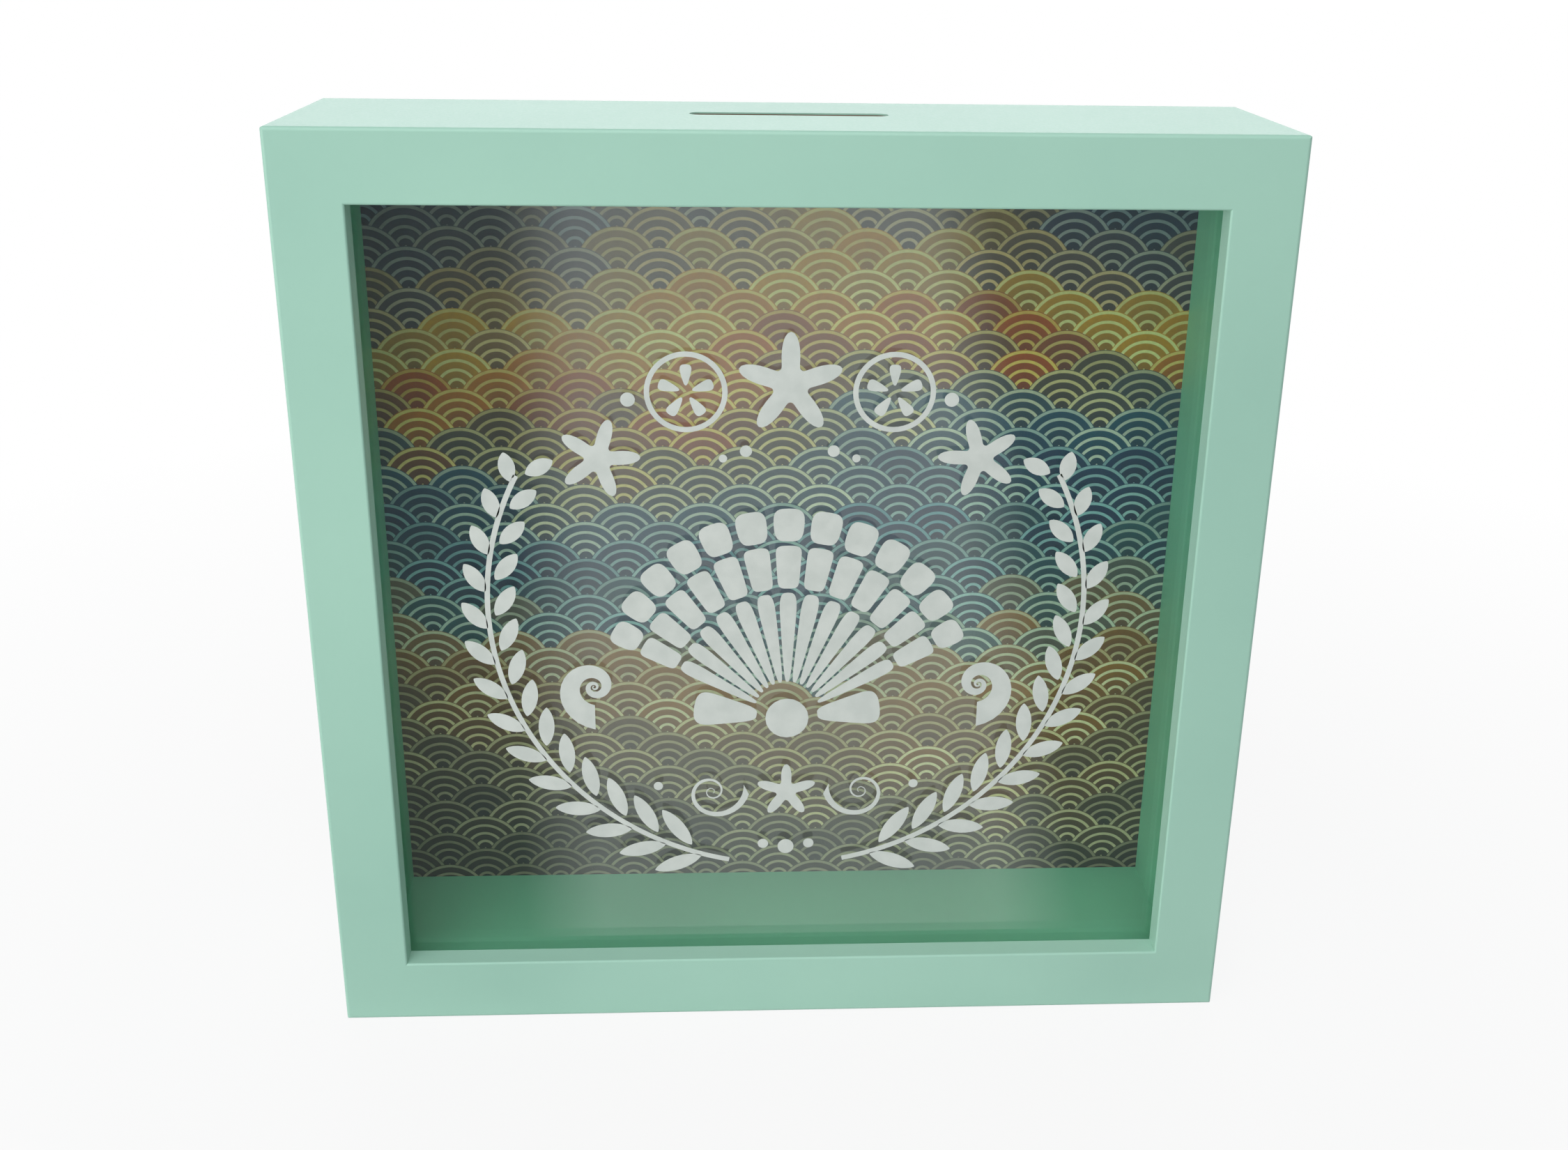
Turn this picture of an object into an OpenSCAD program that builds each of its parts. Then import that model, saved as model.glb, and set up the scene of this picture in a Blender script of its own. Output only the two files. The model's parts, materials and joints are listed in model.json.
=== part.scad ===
// Deep square shadow box for a shell collection: a painted box of mitred
// boards behind a mitred face frame, with a glass front, a drop slot in the
// top, and a back panel that lifts out once its four turn buttons are open.
// X runs across the front, Y from front to back, Z up. The origin is the
// middle of the base.

/* [Case] */
// Outside width of the case
case_w = 254; // [180:1:400]
// Outside height of the case
case_h = 254; // [180:1:400]
// Depth from the front face to the rear edges of the boards
case_d = 64; // [50:1:120]
// Radius of the sanded outer edges
edge_r = 1; // [0.5:0.1:2]

/* [Face frame] */
// Width of the flat face strips
face_w = 18.5; // [15:0.5:40]
// Thickness of the face strips
face_t = 6.5; // [5:0.5:12]
// Radius of the sanded edge round the window
lip_r = 0.6; // [0.3:0.1:1.5]

/* [Box boards] */
// Thickness of the four box boards
board_t = 9; // [8:0.5:12]
// How far the rear rebate bites into each board
rebate_w = 2.5; // [2:0.5:3.5]

/* [Drop slot] */
// Length of the slot, with its round ends
slot_l = 52; // [30:1:120]
// Width of the slot from front to back
slot_w = 6; // [4:0.5:12]
// Distance from the front face to the middle of the slot
slot_front = 35; // [22:1:50]

/* [Glazing] */
// Thickness of the glass
glass_t = 2; // [1.5:0.5:4]
// Clearance between the edges of the glass and the boards
glass_gap = 0.5; // [0.2:0.1:1.5]
// Height of the glazing beads above the boards
bead_h = 4; // [3:0.5:5]
// Depth of the glazing beads from front to back
bead_d = 4; // [3:0.5:8]

/* [Back panel] */
// Thickness of the hardboard panel
panel_t = 3; // [2.5:0.5:6]
// Clearance between the edges of the panel and its rebate
panel_gap = 0.5; // [0.3:0.1:1.2]
// How far the panel lies below the rear edges of the boards
panel_inset = 0.3; // [0.1:0.1:0.8]
// Thickness of the printed sheet glued to the panel
print_t = 0.3; // [0.2:0.1:0.8]
// Bare border of the panel round the printed sheet
print_margin = 0.5; // [0.2:0.1:1.2]

/* [Turn buttons] */
// Overall length of a turn button
button_l = 22; // [16:1:30]
// Thickness of the button's steel strip
button_t = 1; // [0.8:0.1:1.5]
// How far the tip is bent up for a finger
button_lift = 1; // [0.5:0.1:2]
// Height of the pivots above the base and below the top
button_inset = 62; // [40:1:80]
// Radius of the screw's shank
screw_r = 1.25; // [1:0.05:1.6]
// Length of the screw below its head
screw_l = 12; // [8:1:20]
// Radius of the screw's head
screw_head_r = 2.5; // [2.2:0.1:2.7]
// Height of the screw's head
screw_head_h = 1.4; // [1.1:0.1:2]

/* [Sawtooth hanger] */
// Overall length of the hanger
hanger_l = 42; // [34:1:70]
// Height of the hanger's strip
hanger_h = 8; // [6.5:0.5:12]
// Thickness of the hanger's steel
hanger_t = 0.8; // [0.6:0.1:1.2]
// How far the toothed middle stands off the panel
hanger_rise = 1.6; // [1:0.1:2.5]
// Length of each riveted foot
foot_l = 8; // [7:0.5:10]
// Distance between two teeth
tooth_pitch = 2.4; // [2:0.1:4]
// Depth of the notches between the teeth
tooth_h = 1.4; // [0.8:0.1:1.8]
// Distance from the top of the panel to the middle of the hanger
hanger_drop = 22; // [12:1:60]
// Radius of the rivets
rivet_r = 1.2; // [1:0.1:1.6]
// Radius of the rivets' heads
rivet_head_r = 2.2; // [1.9:0.1:2.8]

/* [Corner wedges] */
// Thickness of the V-shaped steel wedges
wedge_t = 0.5; // [0.3:0.1:0.6]
// How deep the wedges are driven into the rear edges
wedge_deep = 7; // [5:1:12]

/* [Hidden] */
$fn = 48;
mint = [0.64, 0.81, 0.73];
raw_board = [0.45, 0.36, 0.28];
steel = [0.72, 0.73, 0.74];

// Sides of the case, as turns about Y from the bottom one
bottom_angle = 0;
left_angle = 90;
top_angle = 180;
right_angle = 270;

front_y = -case_d / 2;
rear_y = case_d / 2;
land_w = board_t - rebate_w;
panel_seat = 0.1;
rebate_d = panel_inset + panel_t + print_t + panel_seat;
panel_w = case_w - 2 * (land_w + panel_gap);
panel_h = case_h - 2 * (land_w + panel_gap);
panel_rear_y = rear_y - panel_inset;
panel_front_y = panel_rear_y - panel_t;
glass_y = front_y + face_t;
bead_front = face_t + glass_t;
overshoot = 1;
mitre_reach = max(face_w, board_t + bead_h) + overshoot;

// Turn buttons and their screws
swivel_gap = 0.2;
swivel_fit = 0.05;
pilot_fit = 0.02;
head_gap = 0.1;
button_margin = 0.3;
button_w = land_w - button_margin;
button_y = rear_y + swivel_gap;
pivot_x = case_w / 2 - land_w / 2;
bend_l = 5;
point_l = 2;
recess_w = 0.6;
recess_d = 0.8;

// Sawtooth hanger and its rivets
hanger_z = case_h / 2 + panel_h / 2 - hanger_drop;
rivet_x = hanger_l / 2 - foot_l / 2;
rivet_fit = 0.03;
rivet_sink = 0.6;
rivet_head_h = 0.8;
tooth_tip = 0.5;
teeth_span = hanger_l - 2 * (foot_l + hanger_rise) - tooth_pitch;
tooth_count = floor(teeth_span / tooth_pitch);

// Corner wedges: wood left inside and outside each V
wedge_cover = 2.3;
wedge_skin = 1;
wedge_sink = 0.2;
wedge_apex = land_w - wedge_cover;
wedge_leg = wedge_apex - wedge_skin;
wedge_half_angle = 37;

function span(side_angle) = side_angle % 180 == 0 ? case_w : case_h;
function reach(side_angle) = side_angle % 180 == 0 ? case_h / 2 : case_w / 2;

// Stands a length modelled as the bottom one on any side of the case
module on_side(side_angle) {
    translate([0, 0, case_h / 2])
        rotate([0, side_angle, 0])
            translate([0, 0, -reach(side_angle)])
                children();
}

// Repeats what is modelled at the lower left corner at all four corners
module at_corners() {
    for (a = [0, 1], b = [0, 1])
        translate([0, 0, b * case_h])
            mirror([0, 0, b])
                mirror([a, 0, 0])
                    translate([-case_w / 2, 0, 0])
                        children();
}

// Extrudes an outline drawn in X and Z from y to y + depth
module plate(y, depth) {
    translate([0, y + depth, 0])
        rotate([90, 0, 0])
            linear_extrude(depth)
                children();
}

// What sanding takes off a square corner at the origin
module sanded_off(r) {
    difference() {
        translate([-overshoot, -overshoot])
            square(r + overshoot);
        translate([r, r])
            circle(r);
    }
}

// Space between the two mitre cuts of one side
module mitre_space(side_angle) {
    half = span(side_angle) / 2;
    plate(front_y - overshoot, case_d + 2 * overshoot)
        polygon([
            [-half - overshoot, -overshoot],
            [half + overshoot, -overshoot],
            [half - mitre_reach, mitre_reach],
            [-half + mitre_reach, mitre_reach]
        ]);
}

// Mitred length of a section drawn as [inward from outside, back from front]
module mitred_length(side_angle) {
    on_side(side_angle)
        intersection() {
            rotate([0, -90, 0])
                linear_extrude(span(side_angle) + 2 * overshoot, center = true)
                    translate([0, front_y])
                        children();
            mitre_space(side_angle);
        }
}

// Long corner edges of the case, sanded across the mitres
module sanded_corners() {
    at_corners()
        plate(front_y - overshoot, case_d + 2 * overshoot)
            sanded_off(edge_r);
}

module face_section() {
    difference() {
        square([face_w, face_t]);
        sanded_off(edge_r);
        translate([face_w, 0])
            mirror([1, 0])
                sanded_off(lip_r);
    }
}

module board_section() {
    difference() {
        translate([0, face_t])
            square([board_t, case_d - face_t]);
        translate([0, case_d])
            mirror([0, 1])
                sanded_off(edge_r);
        translate([land_w, case_d - rebate_d])
            square([rebate_w + overshoot, rebate_d + overshoot]);
    }
}

module bead_section() {
    translate([board_t, bead_front])
        square([bead_h, bead_d]);
}

module face_strip(side_angle) {
    color(mint)
        difference() {
            mitred_length(side_angle)
                face_section();
            sanded_corners();
        }
}

module box_board(side_angle) {
    color(mint)
        difference() {
            mitred_length(side_angle)
                board_section();
            sanded_corners();
            wedge_set(wedge_deep + overshoot);
            pilot_holes();
            if (side_angle == top_angle) drop_slot();
        }
}

module bead(side_angle) {
    color(mint)
        mitred_length(side_angle)
            bead_section();
}

// Long slot with round ends that shells are dropped through
module drop_slot() {
    translate([0, front_y + slot_front, case_h - board_t - overshoot])
        linear_extrude(board_t + 2 * overshoot)
            union() {
                square([slot_l - slot_w, slot_w], center = true);
                for (s = [-1, 1])
                    translate([s * (slot_l - slot_w) / 2, 0])
                        circle(slot_w / 2);
            }
}

module glass_pane() {
    w = case_w - 2 * (board_t + glass_gap);
    h = case_h - 2 * (board_t + glass_gap);
    color([0.75, 0.9, 0.85, 0.3])
        translate([-w / 2, glass_y, case_h / 2 - h / 2])
            cube([w, glass_t, h]);
}

// Two legs that meet on the mitre line and open towards the corner
module wedge_outline() {
    for (turn = [-1, 1])
        translate([wedge_apex, wedge_apex])
            rotate(225 + turn * wedge_half_angle)
                translate([0, -wedge_t / 2])
                    square([wedge_leg, wedge_t]);
}

// The four wedges, or the kerfs they cut, from their inner ends outwards
module wedge_set(length) {
    at_corners()
        plate(rear_y - wedge_deep, length)
            wedge_outline();
}

module corner_wedges() {
    color(steel)
        wedge_set(wedge_deep - wedge_sink);
}

module at_rivets() {
    for (s = [-1, 1])
        translate([s * rivet_x, 0, hanger_z])
            children();
}

// Rivet from the front of the panel to the top of the hanger's foot
module rivet_stem(fit) {
    translate([0, panel_front_y, 0])
        rotate([-90, 0, 0]) {
            cylinder(r = rivet_r + fit, h = panel_t + hanger_t);
            cylinder(r1 = rivet_head_r + fit, r2 = rivet_r + fit, h = rivet_sink);
        }
}

// Low round head whose flat side lies on y = 0
module round_head(r, h) {
    ball_r = (r * r + h * h) / (2 * h);
    rotate([-90, 0, 0])
        intersection() {
            translate([0, 0, h - ball_r])
                sphere(ball_r);
            cylinder(r = r, h = h);
        }
}

module back_panel() {
    color(raw_board)
        difference() {
            plate(panel_front_y, panel_t)
                translate([-panel_w / 2, case_h / 2 - panel_h / 2])
                    square([panel_w, panel_h]);
            at_rivets()
                rivet_stem(rivet_fit);
        }
}

module print_sheet() {
    w = panel_w - 2 * print_margin;
    h = panel_h - 2 * print_margin;
    color([0.42, 0.5, 0.52])
        plate(panel_front_y - print_t, print_t)
            translate([-w / 2, case_h / 2 - h / 2])
                square([w, h]);
}

// Bent strip seen from above: two feet and a raised middle
module hanger_bends() {
    half = hanger_l / 2;
    bend = half - foot_l;
    crest = bend - hanger_rise;
    fold = hanger_t * tan(22.5);
    polygon([
        [-half, 0], [-bend, 0], [-crest, hanger_rise],
        [crest, hanger_rise], [bend, 0], [half, 0],
        [half, hanger_t], [bend + fold, hanger_t],
        [crest + fold, hanger_rise + hanger_t],
        [-crest - fold, hanger_rise + hanger_t],
        [-bend - fold, hanger_t], [-half, hanger_t]
    ]);
}

// Strip seen from behind, with its row of blunt teeth along the lower edge
module hanger_outline() {
    notch = (tooth_pitch - tooth_tip) / 2;
    mouth = notch * (1 + overshoot / tooth_h);
    difference() {
        square([hanger_l, hanger_h], center = true);
        for (i = [0 : tooth_count])
            translate([(i - tooth_count / 2) * tooth_pitch, -hanger_h / 2])
                polygon([[-mouth, -overshoot], [mouth, -overshoot], [0, tooth_h]]);
    }
}

module sawtooth_hanger() {
    color(steel)
        difference() {
            intersection() {
                translate([0, panel_rear_y, hanger_z - hanger_h / 2 - overshoot])
                    linear_extrude(hanger_h + 2 * overshoot)
                        hanger_bends();
                translate([0, 0, hanger_z])
                    plate(rear_y - overshoot, hanger_rise + hanger_t + 2 * overshoot)
                        hanger_outline();
            }
            at_rivets()
                rivet_stem(rivet_fit);
        }
}

module hanger_rivets() {
    color(steel)
        at_rivets()
            union() {
                rivet_stem(0);
                translate([0, panel_rear_y + hanger_t, 0])
                    round_head(rivet_head_r, rivet_head_h);
            }
}

// Places what is modelled at the origin on the four pivots
module at_pivots() {
    for (s = [-1, 1], z = [button_inset, case_h - button_inset])
        translate([s * pivot_x, 0, z])
            children();
}

module pilot_holes() {
    at_pivots()
        translate([0, button_y + button_t + head_gap - screw_l, 0])
            rotate([-90, 0, 0])
                cylinder(r = screw_r + pilot_fit, h = screw_l);
}

// Round-headed screw with a cross recess and a short point
module button_screw() {
    shank = screw_l - point_l;
    translate([0, button_y + button_t + head_gap, 0]) {
        difference() {
            round_head(screw_head_r, screw_head_h);
            for (turn = [0, 90])
                rotate([0, turn, 0])
                    translate([-screw_head_r * 0.6, screw_head_h - recess_d, -recess_w / 2])
                        cube([screw_head_r * 1.2, screw_head_h, recess_w]);
        }
        rotate([90, 0, 0])
            cylinder(r = screw_r, h = shank);
        translate([0, -shank, 0])
            rotate([90, 0, 0])
                cylinder(r1 = screw_r, r2 = screw_r / 6, h = point_l);
    }
}

module button_screws() {
    color(steel)
        at_pivots()
            button_screw();
}

// Round-ended strip that points up from its pivot, its tip bent back
module turn_button(side, z) {
    reach_l = button_l - button_w;
    tip = button_l - button_w / 2;
    bend = tip - bend_l;
    color(steel)
        translate([side * pivot_x, button_y, z])
            difference() {
                intersection() {
                    plate(-overshoot, button_t + button_lift + 2 * overshoot) {
                        circle(button_w / 2);
                        translate([-button_w / 2, 0])
                            square([button_w, reach_l]);
                        translate([0, reach_l])
                            circle(button_w / 2);
                    }
                    rotate([90, 0, 90])
                        linear_extrude(button_w + 2 * overshoot, center = true)
                            polygon([
                                [0, -button_w], [0, bend],
                                [button_lift, tip + overshoot],
                                [button_lift + button_t, tip + overshoot],
                                [button_t, bend], [button_t, -button_w]
                            ]);
                }
                translate([0, -overshoot, 0])
                    rotate([-90, 0, 0])
                        cylinder(r = screw_r + swivel_fit, h = button_t + 2 * overshoot);
            }
}

module face_top() { face_strip(top_angle); }
module face_bottom() { face_strip(bottom_angle); }
module face_left() { face_strip(left_angle); }
module face_right() { face_strip(right_angle); }
module board_top() { box_board(top_angle); }
module board_bottom() { box_board(bottom_angle); }
module board_left() { box_board(left_angle); }
module board_right() { box_board(right_angle); }
module bead_top() { bead(top_angle); }
module bead_bottom() { bead(bottom_angle); }
module bead_left() { bead(left_angle); }
module bead_right() { bead(right_angle); }
module turn_button_left_upper() { turn_button(-1, case_h - button_inset); }
module turn_button_left_lower() { turn_button(-1, button_inset); }
module turn_button_right_upper() { turn_button(1, case_h - button_inset); }
module turn_button_right_lower() { turn_button(1, button_inset); }

face_top();
face_bottom();
face_left();
face_right();
board_top();
board_bottom();
board_left();
board_right();
glass_pane();
bead_top();
bead_bottom();
bead_left();
bead_right();
corner_wedges();
back_panel();
print_sheet();
sawtooth_hanger();
hanger_rivets();
button_screws();
turn_button_left_upper();
turn_button_left_lower();
turn_button_right_upper();
turn_button_right_lower();
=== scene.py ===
import json
import math

import bmesh
import bpy
from mathutils import Matrix, Vector


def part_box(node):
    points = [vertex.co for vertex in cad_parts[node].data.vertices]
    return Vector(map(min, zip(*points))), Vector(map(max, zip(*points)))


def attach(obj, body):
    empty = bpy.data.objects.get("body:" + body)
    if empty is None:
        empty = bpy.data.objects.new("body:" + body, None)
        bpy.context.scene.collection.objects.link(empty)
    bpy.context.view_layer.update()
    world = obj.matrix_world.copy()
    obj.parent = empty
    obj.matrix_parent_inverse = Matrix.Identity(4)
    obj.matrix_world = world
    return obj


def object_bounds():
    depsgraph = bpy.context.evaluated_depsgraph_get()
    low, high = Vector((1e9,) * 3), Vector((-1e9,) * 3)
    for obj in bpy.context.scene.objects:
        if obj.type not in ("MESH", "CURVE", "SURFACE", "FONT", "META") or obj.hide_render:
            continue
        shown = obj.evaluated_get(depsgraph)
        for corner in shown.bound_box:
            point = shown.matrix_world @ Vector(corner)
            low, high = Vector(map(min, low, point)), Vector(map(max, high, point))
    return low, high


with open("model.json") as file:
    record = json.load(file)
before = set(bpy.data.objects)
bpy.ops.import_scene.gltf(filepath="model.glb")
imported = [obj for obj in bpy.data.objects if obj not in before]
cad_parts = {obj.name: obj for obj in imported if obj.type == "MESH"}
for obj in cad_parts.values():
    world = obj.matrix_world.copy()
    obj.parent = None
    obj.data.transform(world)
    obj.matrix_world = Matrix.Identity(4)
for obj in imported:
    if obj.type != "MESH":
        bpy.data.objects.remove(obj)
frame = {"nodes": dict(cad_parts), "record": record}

# The whole case, as the frame holds it.
cad_low, cad_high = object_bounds()

# The camera stands close in front, a little left of the middle, and looks
# down into the case, so its upright edges draw together towards the base.
camera_data = bpy.data.cameras.new("camera")
camera_data.sensor_width = 36
camera_data.lens = 37.32
camera_data.shift_x = -0.0156
camera_data.shift_y = -0.0409
camera = bpy.data.objects.new("camera", camera_data)
camera.location = (-0.0164, -0.4301, 0.3025)
camera.rotation_euler = [math.radians(a) for a in (69.91, -0.83, -2.74)]
bpy.context.scene.collection.objects.link(camera)
bpy.context.scene.camera = camera


# Face strips, box boards and glazing beads.
# Fibreboard, primed and sprayed mint green all over after gluing, so that the
# mitres don't show. Only the inside of the drop slot was left bare.
def linear(red, green, blue):
    """A colour read from 0 to 255, as the light it stands for."""
    return (*[(c / 255 / 12.92) if c <= 10 else ((c / 255 + 0.055) / 1.055) ** 2.4
              for c in (red, green, blue)], 1)


class Finish:
    """A material built node by node on the piece's own place in the frame."""

    def __init__(self, name, **sockets):
        self.material = bpy.data.materials.new(name)
        self.material.use_nodes = True
        self.nodes = self.material.node_tree.nodes
        self.links = self.material.node_tree.links
        self.shader = self.nodes["Principled BSDF"]
        self.place = self.nodes.new("ShaderNodeTexCoord").outputs["Object"]
        for socket, value in sockets.items():
            self.shader.inputs[socket.replace("_", " ")].default_value = value

    def feed(self, socket, value):
        """Links a node's output to the socket, or sets it to a fixed value."""
        if isinstance(value, bpy.types.NodeSocket):
            self.links.new(value, socket)
        else:
            socket.default_value = value

    def vary(self, socket, value):
        """Lets a value that changes over the surface drive the shader."""
        self.links.new(value, self.shader.inputs[socket])

    def maths(self, operation, *values):
        node = self.nodes.new("ShaderNodeMath")
        node.operation = operation
        for socket, value in zip(node.inputs, values):
            self.feed(socket, value)
        return node.outputs[0]

    def product(self, first, *others):
        for other in others:
            first = self.maths("MULTIPLY", first, other)
        return first

    def within(self, value, middle, half):
        """1 where the value lies less than half from the middle, and 0 elsewhere."""
        distance = self.maths("ABSOLUTE", self.maths("SUBTRACT", value, middle))
        return self.maths("LESS_THAN", distance, half)

    def split(self, vector):
        node = self.nodes.new("ShaderNodeSeparateXYZ")
        self.links.new(vector, node.inputs[0])
        return node.outputs

    def join(self, *values):
        node = self.nodes.new("ShaderNodeCombineXYZ")
        for socket, value in zip(node.inputs, values):
            self.links.new(value, socket)
        return node.outputs[0]

    def noise(self, scale, detail=3.0, roughness=0.5, stretch=(1, 1, 1)):
        mapping = self.nodes.new("ShaderNodeMapping")
        mapping.inputs["Scale"].default_value = stretch
        self.links.new(self.place, mapping.inputs["Vector"])
        node = self.nodes.new("ShaderNodeTexNoise")
        node.inputs["Scale"].default_value = scale
        node.inputs["Detail"].default_value = detail
        node.inputs["Roughness"].default_value = roughness
        self.links.new(mapping.outputs[0], node.inputs["Vector"])
        return node.outputs["Fac"]

    def spread(self, value, low, high, to_low=0.0, to_high=1.0):
        """Stretches low to high over to_low to to_high, and stops at both ends."""
        node = self.nodes.new("ShaderNodeMapRange")
        for name, number in (("From Min", low), ("From Max", high),
                             ("To Min", to_low), ("To Max", to_high)):
            node.inputs[name].default_value = number
        self.feed(node.inputs["Value"], value)
        return node.outputs["Result"]

    def mix(self, share, first, second, kind="RGBA"):
        node = self.nodes.new("ShaderNodeMix")
        node.data_type = kind
        ends = [s for s in node.inputs if s.type == kind and s.name in "AB"]
        self.feed(node.inputs[0], share)
        self.feed(ends[0], first)
        self.feed(ends[1], second)
        return [s for s in node.outputs if s.type == kind][0]

    def bump(self, height, depth, strength=1.0):
        """Raises the surface by the height times the depth, which is in metres."""
        node = self.nodes.new("ShaderNodeBump")
        node.inputs["Distance"].default_value = depth
        node.inputs["Strength"].default_value = strength
        self.links.new(height, node.inputs["Height"])
        self.links.new(node.outputs[0], self.shader.inputs["Normal"])

    def blend(self, share, first, second):
        """Makes the surface a blend of two shaders."""
        node = self.nodes.new("ShaderNodeMixShader")
        for socket, value in zip(node.inputs, (share, first.outputs[0], second.outputs[0])):
            self.links.new(value, socket)
        self.links.new(node.outputs[0], self.nodes["Material Output"].inputs["Surface"])


def wear(names, finish):
    """Gives CAD nodes a finish in every material slot that they have."""
    for name in names:
        for slot in frame["nodes"][name].material_slots:
            slot.material = finish.material


mint_low = linear(157, 201, 184)
mint_high = linear(166, 209, 191)
# Painted shade: inside the box, behind the glass, walls and floor take a darker, greener mint for
# the dim light bouncing between them.
mint_shaded_inside = linear(118, 198, 166)
inside_shade_share = 0.8
bare_board = linear(122, 100, 80)
interior, drop_slot = [opening["box_m"] for opening in frame["record"]["physics"]["openings"]]
slot_l = 0.052
slot_w = 0.006
slot_y = (drop_slot[0][1] + drop_slot[1][1]) / 2
board_t = 0.009
cut_margin = 0.0001
painted_lip = 0.0004
top_z = cad_high.z
wall_past_interior = 0.0008
wall_x = interior[1][0] + wall_past_interior
glass_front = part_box("glass_pane")[0].y

paint = Finish("mint_paint", IOR=1.48)
across, rearward, up = paint.split(paint.place)
in_slot = paint.product(
    paint.within(across, 0, slot_l / 2 + cut_margin),
    paint.within(rearward, slot_y, slot_w / 2 + cut_margin),
    paint.maths("LESS_THAN", up, top_z - painted_lip),
    paint.maths("GREATER_THAN", up, top_z - board_t + cut_margin))
# Painted shade mask: the inside of the box behind the glass, where the mint turns to the darker,
# greener shade.
inside_shade = paint.product(
    inside_shade_share,
    paint.within(across, 0, wall_x),
    paint.within(up, top_z / 2, wall_x),
    paint.maths("GREATER_THAN", rearward, glass_front))
mint = paint.mix(paint.spread(paint.noise(9, 4), 0.3, 0.7), mint_low, mint_high)
colour = paint.mix(in_slot, paint.mix(inside_shade, mint, mint_shaded_inside), bare_board)
paint.vary("Base Color", colour)
paint.vary("Roughness", paint.spread(paint.noise(1400, 2), 0.3, 0.7, 0.40, 0.52))
paint.bump(paint.noise(520, 3), 0.00006, 0.6)
sides = ("top", "bottom", "left", "right")
wear([f"{part}_{side}" for part in ("face", "board", "bead") for side in sides], paint)


# Glass pane.
# Thin float glass with a slight green cast, laid against the lip of the face
# frame from behind and held there by the beads.
cast_low = (0.92, 0.985, 0.945, 1)
cast_high = (0.94, 0.99, 0.96, 1)
mirror_straight = 0.045
mirror_grazing = 0.8

glass = Finish("float_glass", Metallic=1.0, Base_Color=(1, 1, 1, 1))
ripple = glass.noise(14, 2)
glass.vary("Roughness", glass.spread(ripple, 0.3, 0.7, 0.03, 0.07))
glass.bump(ripple, 0.00004)
clear = glass.nodes.new("ShaderNodeBsdfTransparent")
cast = glass.mix(glass.spread(ripple, 0.3, 0.7), cast_low, cast_high)
glass.links.new(cast, clear.inputs["Color"])
tilt = glass.nodes.new("ShaderNodeLayerWeight").outputs["Facing"]
tilt = glass.maths("POWER", tilt, 5)
mirror = glass.maths("MULTIPLY_ADD", tilt, mirror_grazing, mirror_straight)
glass.blend(mirror, clear, glass.shader)
wear(["glass_pane"], glass)


# Ornament on the glass.
# Off-white ink screened on the front of the glass: a scallop shell over two
# curls, between sprays of seaweed, starfish, sand dollars, snails and pearls.
def swollen(value, power):
    """A sine or cosine made fuller by a power under 1, or leaner by one over 1."""
    return math.copysign(abs(value) ** power, value)


def outline(bm, segments, where):
    """A filled round outline, of which each point goes where its angle says."""
    circle = bmesh.ops.create_circle(bm, cap_ends=True, segments=segments, radius=1)
    for vert in circle["verts"]:
        vert.co = where(math.atan2(vert.co.y, vert.co.x))


def pearl(bm, x, y, radius):
    outline(bm, 20, lambda a: Vector((x + radius * math.cos(a), y + radius * math.sin(a), 0)))


def rib(bm, x, y, lean, half_width, inner, outer, roundness=0.7):
    """A slice of a fan that opens upwards from x, y, with rounded ends."""
    def where(angle):
        reach = (inner + outer) / 2 + (outer - inner) / 2 * swollen(math.sin(angle), roundness)
        turn = math.radians(lean + half_width * swollen(math.cos(angle), 0.55))
        return Vector((x + reach * math.sin(turn), y + reach * math.cos(turn), 0))
    outline(bm, 32, where)


def leaf(bm, x, y, turn, gap, length, width):
    """A pointed leaf that grows away from x, y and leaves a gap to the stem."""
    def where(angle):
        reach = gap + length / 2 * (1 + math.cos(angle))
        side = width / 2 * swollen(math.sin(angle), 1.5)
        return Vector((x + reach * math.cos(turn) - side * math.sin(turn),
                       y + reach * math.sin(turn) + side * math.cos(turn), 0))
    outline(bm, 24, where)


def starfish(bm, x, y, radius, lean):
    """Five arms, of which the first points to the angle lean."""
    def where(angle):
        arm = (0.5 + 0.5 * math.cos(5 * (angle - lean))) ** 1.6
        reach = radius * (0.34 + 0.66 * arm)
        return Vector((x + reach * math.cos(angle), y + reach * math.sin(angle), 0))
    outline(bm, 100, where)


def sand_dollar(bm, x, y, outer, inner):
    """A ring round five petals. Its circles are the only edges without a face so far."""
    for radius in (inner, outer):
        bmesh.ops.create_circle(bm, segments=44, radius=radius,
                                matrix=Matrix.Translation((x, y, 0)))
    bmesh.ops.bridge_loops(bm, edges=[edge for edge in bm.edges if edge.is_wire])
    petals = 5
    for i in range(petals):
        rib(bm, x, y, i * 360 / petals, half_width=15, inner=1.8, outer=7.4)


def ribbon(bm, start, end, pivot, degrees, steps, shrink=1.0):
    """Turns an edge about a pivot, step by step, and shrinks it on the way."""
    edge = bm.edges.new([bm.verts.new((*start, 0)), bm.verts.new((*end, 0))])
    turn = Matrix.Rotation(math.radians(degrees / steps), 4, "Z")
    step = Matrix.Diagonal((shrink, shrink, 1, 1)) @ turn
    about = Matrix.Translation((-pivot[0], -pivot[1], 0))
    for _ in range(steps):
        new = bmesh.ops.extrude_edge_only(bm, edges=[edge])["geom"]
        verts = [g for g in new if isinstance(g, bmesh.types.BMVert)]
        bmesh.ops.transform(bm, matrix=step, space=about, verts=verts)
        edge = next(g for g in new
                    if isinstance(g, bmesh.types.BMEdge) and all(v in verts for v in g.verts))


# Its places and sizes are in millimetres from the middle of the glass.
ink = bmesh.new()

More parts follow.
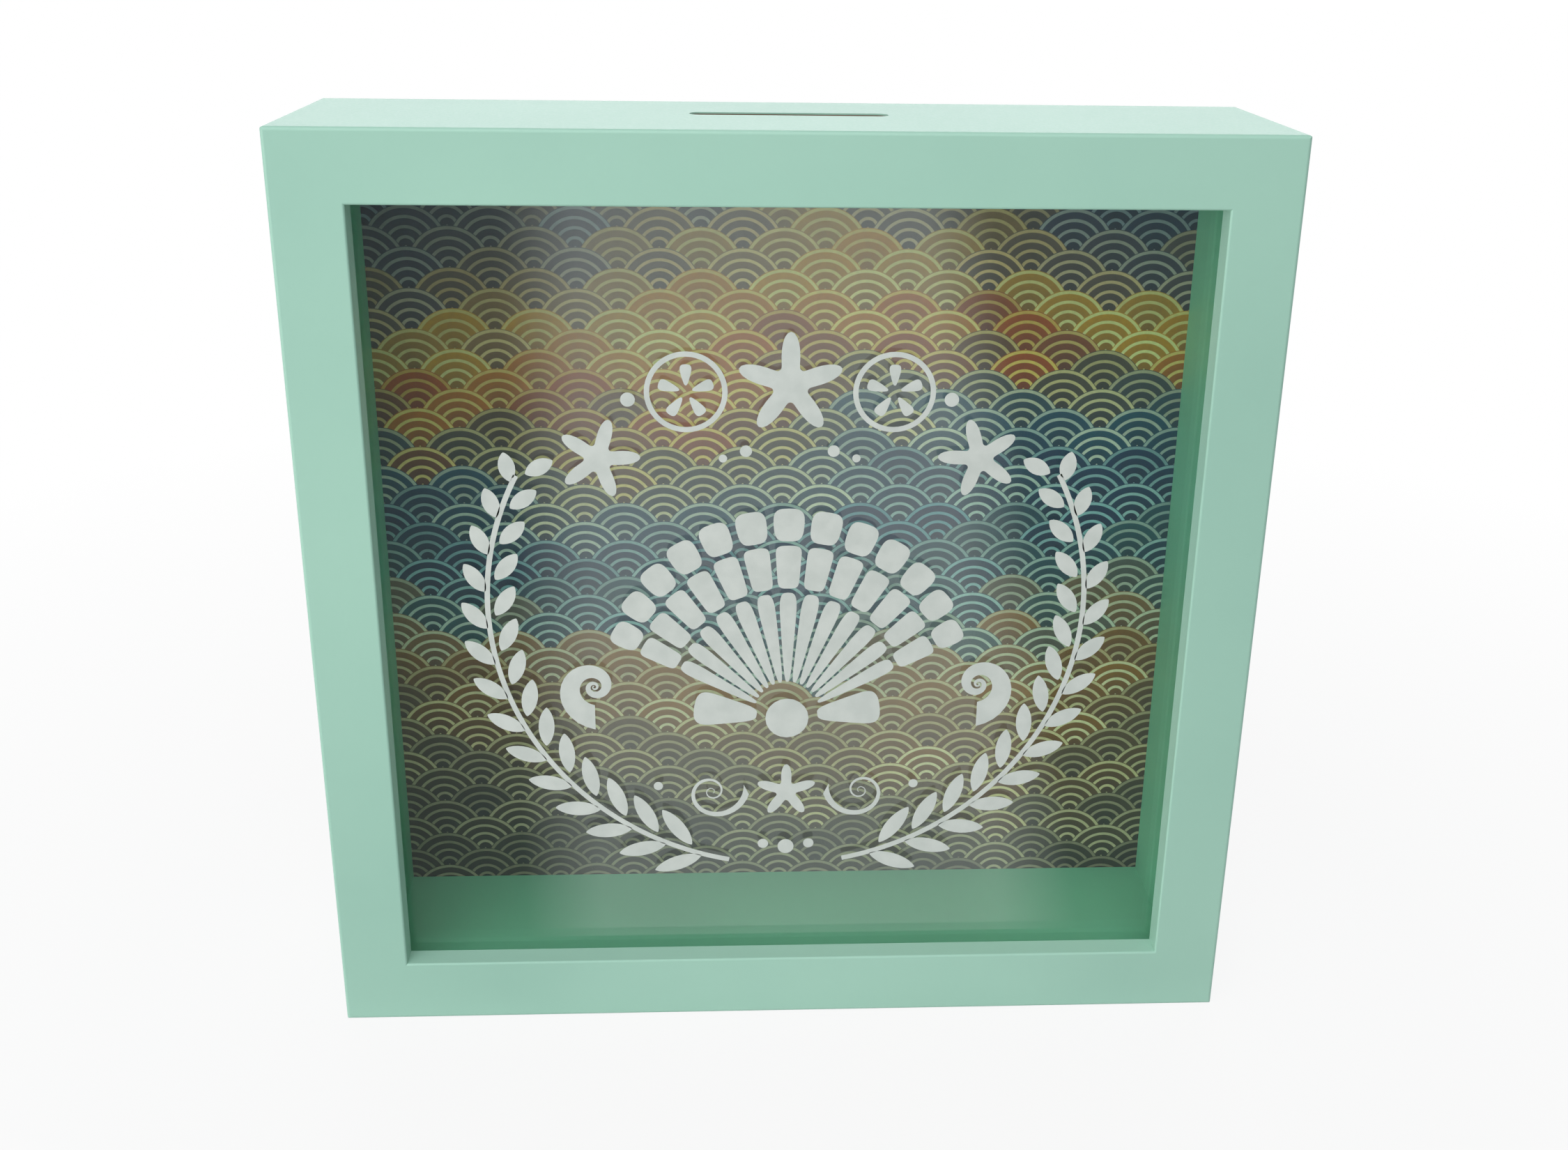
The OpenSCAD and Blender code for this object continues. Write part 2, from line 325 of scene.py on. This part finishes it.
shell_foot = -34
shell_reach = 62
shell_open = 60
shell_ribs = 13
rib_share = 0.82
shorter_at_sides = 0.12
growth_rings = ((0.18, 0.61, 0.4), (0.63, 0.83, 0.25), (0.85, 1.0, 0.65))
for i in range(shell_ribs):
    lean = shell_open * (2 * i / (shell_ribs - 1) - 1)
    half = shell_open / (shell_ribs - 1) * rib_share
    reach = shell_reach * (1 - shorter_at_sides * (lean / shell_open) ** 2)
    for inner, outer, roundness in growth_rings:
        rib(ink, 0, shell_foot, lean, half, reach * inner, reach * outer, roundness)
pearl(ink, 0, shell_foot, radius=6)
for ear in (-82, 82):
    rib(ink, 0, shell_foot, ear, half_width=13, inner=8.5, outer=26, roundness=0.4)

spray_radius = 80
first_leaf = -74
leaf_step = 7.6
leaf_pairs = 14
longest_leaf = 14
leaf_taper = 0.45
leaf_lean = 0.62
upper_leaf_lead = 0.045
for side in (-1, 1):
    ribbon(ink, (side * 16, -78.4), (side * 16.3, -79.8), pivot=(0, 0),
           degrees=side * 106, steps=60)
    for i in range(leaf_pairs):
        for branch, lead in ((-leaf_lean, 0), (leaf_lean, upper_leaf_lead)):
            at = math.radians(first_leaf + i * leaf_step) + lead
            turn = at + math.pi / 2 + branch
            foot = (side * spray_radius * math.cos(at), spray_radius * math.sin(at))
            leaf(ink, *foot, turn if side > 0 else math.pi - turn,
                 gap=2.2, length=longest_leaf - leaf_taper * i, width=4.4)
    starfish(ink, side * 50, 42, radius=11, lean=math.radians(90 + side * 16))
    sand_dollar(ink, side * 27, 60, outer=10.8, inner=9.4)
    snail = (side * 53, -24)
    snail_outside = (snail[0], snail[1] - 13)
    snail_inside = (snail[0], snail[1] - 5.5)
    ribbon(ink, snail_outside, snail_inside, snail, degrees=side * 900, steps=75, shrink=0.955)
    curl = (side * 21, -57)
    curl_outside = (curl[0] - side * 10.5, curl[1] - 1)
    curl_inside = (curl[0] - side * 9, curl[1] + 2.2)
    ribbon(ink, curl_outside, curl_inside, curl, degrees=side * 780, steps=78, shrink=0.965)
    for x, y, radius in ((36, -55, 1.3), (6.5, -74, 1.5), (42, 58, 1.9),
                         (11.5, 44, 1.6), (17.5, 42, 1.1)):
        pearl(ink, side * x, y, radius)
starfish(ink, 0, 62, radius=14, lean=math.radians(90))
starfish(ink, 0, -57, radius=8.5, lean=math.radians(90))
pearl(ink, 0, -75, radius=2.3)

for face in ink.faces:
    if face.normal.z < 0:
        face.normal_flip()
bmesh.ops.triangulate(ink, faces=ink.faces)
glass_low, glass_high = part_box("glass_pane")
glass_middle = (glass_low + glass_high) / 2
ink_gap = 0.00002
ink_thickness = 0.0001
mm = 0.001
place = Matrix.Translation((glass_middle.x, glass_low.y - ink_gap, glass_middle.z))
place = place @ Matrix.Rotation(math.radians(90), 4, "X") @ Matrix.Scale(mm, 4)
bmesh.ops.transform(ink, matrix=place, verts=ink.verts)
ink_mesh = bpy.data.meshes.new("glass_ornament")
ink.to_mesh(ink_mesh)
ink.free()
glass_ornament = bpy.data.objects.new("glass_ornament", ink_mesh)
bpy.context.scene.collection.objects.link(glass_ornament)
thickness = glass_ornament.modifiers.new("thickness", "SOLIDIFY")
thickness.thickness = ink_thickness
thickness.offset = 1

screen_ink = Finish("off_white_ink")
cover = screen_ink.noise(160, 4)
off_white = screen_ink.mix(
    screen_ink.spread(cover, 0.35, 0.65), linear(196, 203, 198), linear(207, 213, 208))
screen_ink.vary("Base Color", off_white)
screen_ink.vary("Roughness", screen_ink.spread(cover, 0.3, 0.7, 0.42, 0.6))
screen_ink.bump(screen_ink.noise(2600, 2), 0.00002)
ink_mesh.materials.append(screen_ink.material)
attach(glass_ornament, "case")


# Printed sheet.
# Satin paper glued to the front of the back panel. Its print is an all-over
# pattern of wave scales in bands of brown, gold, teal, orange and dusk blue.
sheet_low, sheet_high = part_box("print_sheet")
scale_radius = 0.0118
row_rise = scale_radius / 2
ring_step = 0.24
sweep_turn = 22
sweep_reach = 0.06
chance_reach = 0.05
dark_blue = linear(14, 34, 54)
grey_grain = linear(30, 40, 44)
bands = (
    (0.00, (62, 58, 54), (190, 176, 150)), (0.10, (92, 78, 62), (226, 208, 172)),
    (0.20, (128, 86, 48), (255, 232, 178)), (0.29, (176, 116, 44), (255, 244, 204)),
    (0.36, (34, 96, 108), (222, 234, 222)), (0.46, (4, 48, 92), (146, 206, 220)),
    (0.56, (10, 84, 112), (236, 240, 222)), (0.63, (92, 78, 66), (255, 230, 160)),
    (0.69, (190, 84, 26), (255, 216, 110)), (0.75, (222, 158, 44), (255, 248, 176)),
    (0.82, (118, 96, 88), (246, 206, 150)), (0.90, (44, 62, 98), (170, 178, 190)),
    (1.00, (16, 40, 74), (110, 138, 172)),
)

printed_paper = Finish("printed_paper", Roughness=0.42)
maths = printed_paper.maths
across, _, height = printed_paper.split(printed_paper.place)
height = maths("SUBTRACT", height, sheet_low.z)
lowest_row = maths("SUBTRACT", maths("FLOOR", maths("DIVIDE", height, row_rise)), 1)


def scale_in_row(rows_up):
    """The nearest scale of a row: its centre, the way out from there, and if it covers."""
    row = maths("ADD", lowest_row, rows_up)
    shift = maths("MULTIPLY", maths("FLOORED_MODULO", row, 2), scale_radius)
    column = maths("DIVIDE", maths("SUBTRACT", across, shift), 2 * scale_radius)
    column = maths("MULTIPLY", maths("ROUND", column), 2 * scale_radius)
    centre_x = maths("ADD", column, shift)
    centre_z = maths("MULTIPLY", row, row_rise)
    out_x = maths("POWER", maths("SUBTRACT", across, centre_x), 2)
    out_z = maths("POWER", maths("SUBTRACT", height, centre_z), 2)
    out = maths("DIVIDE", maths("SQRT", maths("ADD", out_x, out_z)), scale_radius)
    return printed_paper.join(centre_x, centre_z, out), maths("LESS_THAN", out, 1)


scale, _ = scale_in_row(2)
for rows_up in (1, 0):
    nearer, covers = scale_in_row(rows_up)
    scale = printed_paper.mix(covers, scale, nearer, "VECTOR")
centre_x, centre_z, out = printed_paper.split(scale)

cell = printed_paper.nodes.new("ShaderNodeTexWhiteNoise")
cell.noise_dimensions = "2D"
printed_paper.links.new(printed_paper.join(centre_x, centre_z), cell.inputs["Vector"])
chance = cell.outputs["Value"]

sweep = maths("SINE", maths("MULTIPLY", maths("ADD", centre_x, centre_z), sweep_turn))
level = maths("DIVIDE", centre_z, sheet_high.z - sheet_low.z)
level = maths("ADD", level, printed_paper.spread(sweep, -1, 1, -sweep_reach, sweep_reach))
level = maths("ADD", level, printed_paper.spread(chance, 0, 1, -chance_reach, chance_reach))


def ramp(column):
    """The bands' ground colours, column 1, or ring colours, column 2, at this level."""
    node = printed_paper.nodes.new("ShaderNodeValToRGB")
    stops = node.color_ramp.elements
    for stop, band in ((stops[0], bands[0]), (stops[1], bands[-1])):
        stop.position = band[0]
        stop.color = linear(*band[column])
    for band in bands[1:-1]:
        stops.new(band[0]).color = linear(*band[column])
    printed_paper.links.new(level, node.inputs[0])
    return node.outputs[0]


shade = printed_paper.spread(out, 0.0, 1, 0.55, 0.0)
scale_ground = printed_paper.mix(shade, ramp(1), dark_blue)
ring = maths("FRACT", maths("DIVIDE", maths("SUBTRACT", 1, out), ring_step))
ring_start = printed_paper.spread(ring, 0.05, 0.10)
ring_end = printed_paper.spread(ring, 0.42, 0.36)
ring_ink = printed_paper.spread(chance, 0, 1, 0.5, 0.95)
line = printed_paper.product(ring_start, ring_end, ring_ink)
printed = printed_paper.mix(line, scale_ground, ramp(2))
grain = printed_paper.spread(printed_paper.noise(900, 3), 0.3, 0.7, 0, 0.12)
printed = printed_paper.mix(grain, printed, grey_grain)
printed_paper.vary("Base Color", printed)
printed_paper.bump(printed_paper.noise(1500, 2), 0.00002)
wear(["print_sheet"], printed_paper)


# Back panel.
# Brown hardboard, left bare behind, where it shows the mesh it was pressed on.
# It lies loose in the rebate and comes out once the turn buttons are open.
mesh_pitch = 0.0024
hardboard = Finish("hardboard")
fibre = hardboard.noise(1300, 5, 0.75, stretch=(1, 1, 0.6))
mottle = hardboard.spread(hardboard.noise(24, 4), 0.3, 0.7)
brown = hardboard.mix(mottle, linear(128, 94, 64), linear(144, 108, 76))
brown = hardboard.mix(hardboard.spread(fibre, 0.48, 0.85), brown, linear(88, 60, 40))
hardboard.vary("Base Color", brown)
hardboard.vary("Roughness", hardboard.spread(fibre, 0.3, 0.7, 0.62, 0.85))
place_x, _, place_z = hardboard.split(hardboard.place)
wires = [hardboard.maths("SINE", hardboard.maths("MULTIPLY", axis, 2 * math.pi / mesh_pitch))
         for axis in (place_x, place_z)]
weave = hardboard.spread(hardboard.maths("ADD", *wires), -2, 2)
relief = hardboard.maths("ADD", hardboard.maths("MULTIPLY", weave, 0.6), fibre)
hardboard.bump(relief, 0.00012, 0.6)
wear(["back_panel"], hardboard)


# Hanger, rivets, turn buttons, screws and corner wedges.
# Pressed and turned steel with a thin bright zinc plating, rolled along its
# length. The rivets are set through the panel, the screws driven into the boards.
zinc = Finish("zinc_plate", Metallic=1.0)
rolled = zinc.noise(300, 4, 0.6, stretch=(1, 1, 8))
spangle = zinc.spread(zinc.noise(700, 2), 0.3, 0.7)
zinc.vary("Base Color", zinc.mix(spangle, linear(150, 153, 156), linear(166, 168, 170)))
zinc.vary("Roughness", zinc.spread(rolled, 0.3, 0.7, 0.28, 0.42))
zinc.bump(rolled, 0.00001)
wear(["sawtooth_hanger", "hanger_rivets", "button_screws", "corner_wedges"], zinc)
wear([f"turn_button_{side}_{end}" for side in ("left", "right") for end in ("upper", "lower")], zinc)


# Floor.
# A plain pale surface, white away from the case, with the soft shadow under it.
# In front of the case, gloss alone sees it as a pale band between darker sides.
floor_half = 6.0
floor_bm = bmesh.new()
bmesh.ops.create_grid(floor_bm, x_segments=8, y_segments=8, size=floor_half)
floor_mesh = bpy.data.meshes.new("floor")
floor_bm.to_mesh(floor_mesh)
floor_bm.free()
floor = bpy.data.objects.new("floor", floor_mesh)
bpy.context.scene.collection.objects.link(floor)

pale = Finish("pale_floor", Roughness=0.9, Base_Color=linear(205, 206, 206))
distance = pale.nodes.new("ShaderNodeVectorMath")
distance.operation = "LENGTH"
pale.links.new(pale.place, distance.inputs[0])
whiteness = pale.spread(distance.outputs["Value"], 0.2, 0.6, 0.88, 1.0)
rays = pale.nodes.new("ShaderNodeLightPath").outputs
seen = pale.maths("MAXIMUM", rays["Is Glossy Ray"], rays["Is Transmission Ray"])
seen = pale.maths("MAXIMUM", seen, rays["Is Camera Ray"])

band_gap = 0.008
in_front = cad_low.y - band_gap
band_x = 0.008
band_near_half = 0.080
band_widening = 0.133
band_core = 0.72
side_light = 0.25
band_light = 1.45
floor_x, floor_y, _ = pale.split(pale.place)
band_half = pale.maths("MULTIPLY_ADD", floor_y, -band_widening, band_near_half)
band_share = pale.maths("ABSOLUTE", pale.maths("SUBTRACT", floor_x, band_x))
band_share = pale.maths("DIVIDE", band_share, band_half)
band = pale.spread(band_share, 1.0, band_core, side_light - 1, band_light - 1)
mirrored = pale.product(rays["Is Glossy Ray"], pale.maths("LESS_THAN", floor_y, in_front))
white = pale.nodes.new("ShaderNodeEmission")
white.inputs["Color"].default_value = (1, 1, 1, 1)
pale.links.new(pale.maths("MULTIPLY_ADD", mirrored, band, 1.0), white.inputs["Strength"])
pale.blend(pale.product(whiteness, seen), pale.shader, white)
floor_mesh.materials.append(pale.material)


# Studio light.
# A pale room, two soft lights above in front, a low one on the left, and a wide
# white screen behind the case, which the painted top mirrors.
def soft_light(name, spot, target, size, power, tint=(1, 1, 1)):
    data = bpy.data.lights.new(name, "AREA")
    data.shape = "RECTANGLE"
    data.size, data.size_y = size
    data.energy = power
    data.color = tint
    light = bpy.data.objects.new(name, data)
    light.location = spot
    light.rotation_euler = (Vector(target) - Vector(spot)).to_track_quat("-Z", "Y").to_euler()
    light.visible_camera = False
    bpy.context.scene.collection.objects.link(light)


case_middle = (0, 0, 0.127)
soft_light("key_light", (-0.25, -1.2, 1.35), case_middle, (1.3, 1.3), 12.5)
soft_light("left_light", (-1.2, -0.75, 0.25), case_middle, (0.8, 0.5), 7.5, (1, 0.99, 0.95))
soft_light("top_light", (-0.2, -0.5, 1.6), case_middle, (1.1, 1.1), 5)
soft_light("back_screen", (0, 1.6, 0.75), (0, 0, 0.45), (3.0, 1.3), 23, (0.98, 0.98, 1.0))

room = bpy.data.worlds.new("room")
room.use_nodes = True
room_nodes = room.node_tree.nodes
room_links = room.node_tree.links
room_seen = room_nodes.new("ShaderNodeLightPath").outputs["Is Camera Ray"]
room_strength = room_nodes.new("ShaderNodeMapRange")
room_strength.inputs["To Min"].default_value = 0.33
room_strength.inputs["To Max"].default_value = 1.1
room_links.new(room_seen, room_strength.inputs["Value"])
room_nodes["Background"].inputs["Color"].default_value = (0.95, 0.975, 1, 1)
room_links.new(room_strength.outputs["Result"], room_nodes["Background"].inputs["Strength"])
bpy.context.scene.world = room
bpy.context.scene.view_settings.view_transform = "Standard"
